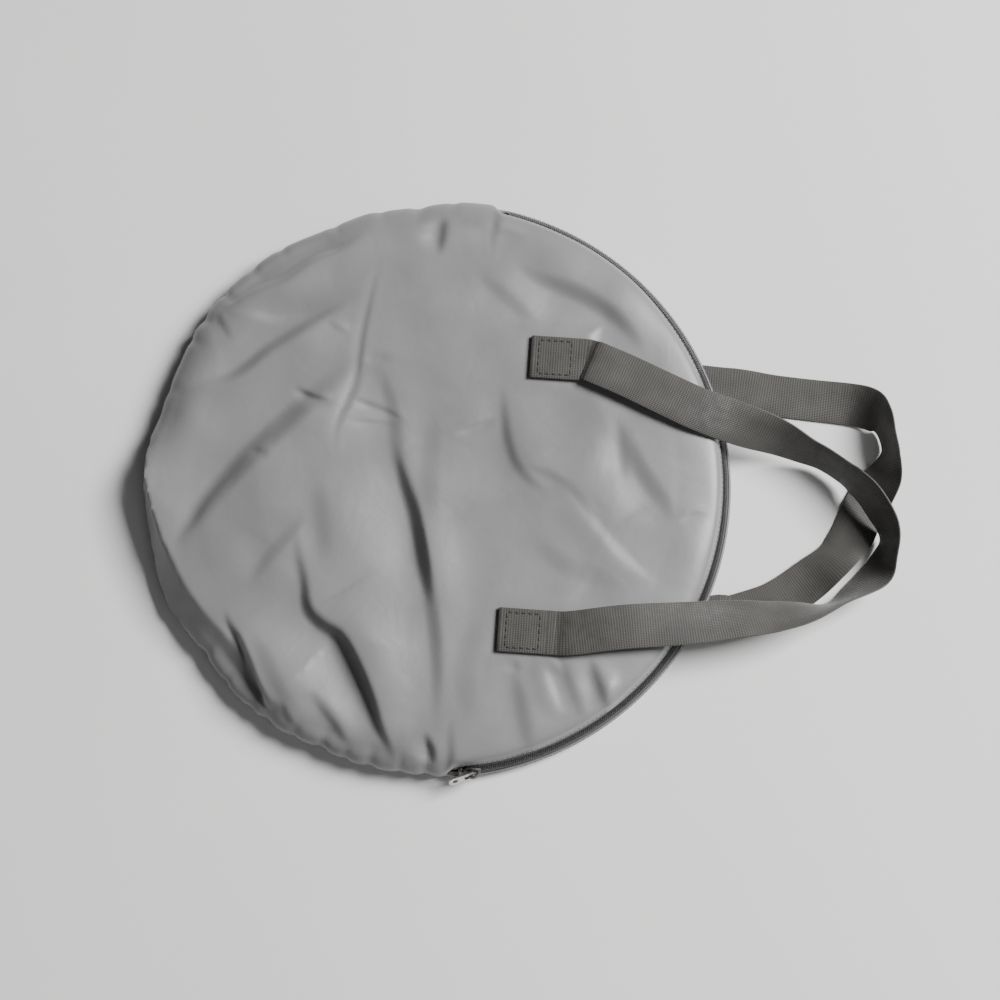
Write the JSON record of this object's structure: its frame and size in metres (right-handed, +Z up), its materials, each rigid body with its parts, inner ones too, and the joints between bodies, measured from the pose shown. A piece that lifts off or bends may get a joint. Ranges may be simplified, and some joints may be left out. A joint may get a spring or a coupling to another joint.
{
  "type": "golf chipping net",
  "caption": "Round zipped carry bag with two webbing handles, holding a pop-up golf chipping net folded into three flat loops with its targets and ground pegs.",
  "frame": {"origin": "middle of the round bag, on the surface it lies on", "axes": "+X towards the two handles, +Z up out of the top cloth, +Y across the bag towards the end of the zip where it opens fully"},
  "size_m": [0.43, 0.3376, 0.0331],
  "materials": {
    "bag_cloth": "coated polyester with a satin sheen",
    "zip_tape": "woven polyester tape, matt",
    "zip_coil": "nylon coil, satin",
    "zip_metal": "crimped sheet metal, satin",
    "slider_metal": "die-cast zinc with a dark plated finish",
    "pull_metal": "bright plated zinc",
    "webbing": "ribbed woven polypropylene webbing",
    "thread": "bonded polyester thread",
    "hoop_steel": "drawn spring steel",
    "sleeve_cloth": "woven polyester tape sewn to a sleeve",
    "elastic": "woven elastic",
    "backstop_netting": "knotless polyester netting, folded",
    "ring_cloth": "woven cover over a spring wire ring",
    "pocket_netting": "fine knotless netting",
    "peg_steel": "zinc plated steel wire"
  },
  "bodies": {
    "bag": {"bottom_panel": "bag_cloth", "top_panel_back": "bag_cloth", "rim_seam_allowance": "bag_cloth", "lower_zip_tape": "zip_tape", "lower_zip_teeth": "zip_coil", "upper_zip_tape_ends": "zip_tape", "upper_zip_teeth_ends": "zip_coil", "zip_end_stops": "zip_metal", "under_handle_held_ends": "webbing", "under_handle_stitching": "thread", "hoop_wire": "hoop_steel", "hoop_sleeve": "sleeve_cloth", "hoop_ferrule": "zip_metal", "closing_strap": "elastic", "folded_backstop_net": "backstop_netting", "target_ring_left": "ring_cloth", "target_ring_far": "ring_cloth", "target_ring_near": "ring_cloth", "ball_pocket_left": "pocket_netting", "ball_pocket_far": "pocket_netting", "ball_pocket_near": "pocket_netting", "ground_pegs": "peg_steel", "peg_band": "elastic"},
    "flap": {"top_panel_flap": "bag_cloth", "upper_zip_tape": "zip_tape", "upper_zip_teeth": "zip_coil", "top_handle_sewn_ends": "webbing", "top_handle_stitching": "thread"},
    "top_handle": {"top_handle_strap": "webbing"},
    "under_handle": {"under_handle_strap": "webbing"},
    "slider": {"zip_slider": "slider_metal"},
    "puller": {"zip_pull": "pull_metal"}
  },
  "joints": [
    {"name": "flap_open", "type": "hinge", "parent": "bag", "child": "flap", "pos_m": [0.03911, 0.16338, 0.0298], "axis": [0.0044, -1, 0], "range_deg": [0, 110]},
    {"name": "top_handle_lift", "type": "hinge", "parent": "flap", "child": "top_handle", "pos_m": [0.07415, 0.074, 0.0298], "axis": [-0.0319, -0.9995, 0], "range_deg": [0, 70]},
    {"name": "under_handle_lift", "type": "hinge", "parent": "bag", "child": "under_handle", "pos_m": [0.15815, 0.0715, 0.00155], "axis": [0.0526, -0.9986, 0], "range_deg": [0, 65]},
    {"name": "zip_run", "type": "hinge", "parent": "bag", "child": "slider", "pos_m": [0, 0, 0], "axis": [0, 0, 1], "range_deg": [0, 156.5]},
    {"name": "pull_swing", "type": "hinge", "parent": "slider", "child": "puller", "pos_m": [0.03476, -0.16353, 0.01362], "axis": [-0.104, 0.4891, 0.866], "range_deg": [0, 156]}
  ],
  "couplings": [
    {"joint": "under_handle_lift", "follows": "top_handle_lift", "ratio": 0.92857}
  ]
}
